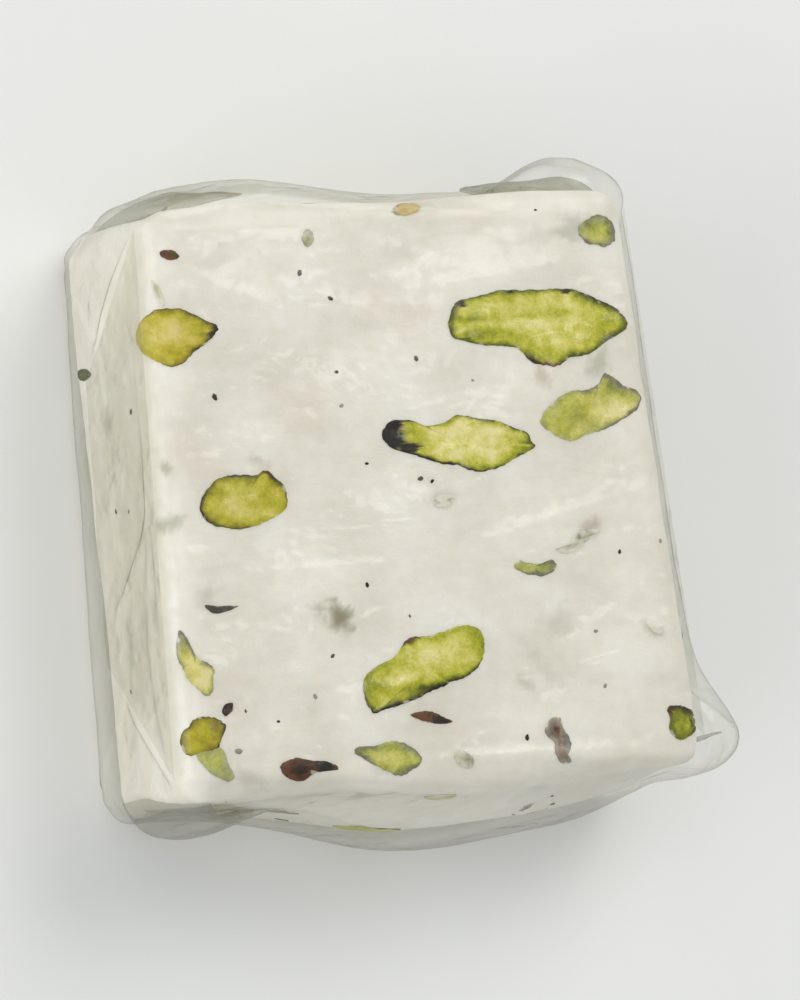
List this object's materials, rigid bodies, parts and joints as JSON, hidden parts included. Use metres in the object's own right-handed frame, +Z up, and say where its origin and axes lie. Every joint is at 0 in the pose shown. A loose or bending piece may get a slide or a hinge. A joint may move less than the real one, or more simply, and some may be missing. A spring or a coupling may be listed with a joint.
{
  "type": "nougat bar",
  "caption": "Short thick cut bar of white nougat with green nut pieces, sealed in clear film with folded ends and corner ears.",
  "frame": {"origin": "centre of the bounding box's underside, on the surface that the bar lies on", "axes": "+Z up out of the show face, +Y to the head end of the bar, +X to its right"},
  "size_m": [0.0596, 0.059, 0.0193],
  "materials": {
    "nougat": "soft white whipped-sugar nougat, slightly translucent, with a fine uneven cut face",
    "pistachio": "cut pistachio kernel, pale yellow-green inside with a darker green rim and purple-brown skin",
    "clear_film": "thin clear glossy wrapping film, folded and slightly creased"
  },
  "bodies": {
    "root": {"wrapped_bar": "nougat"}
  },
  "joints": []
}
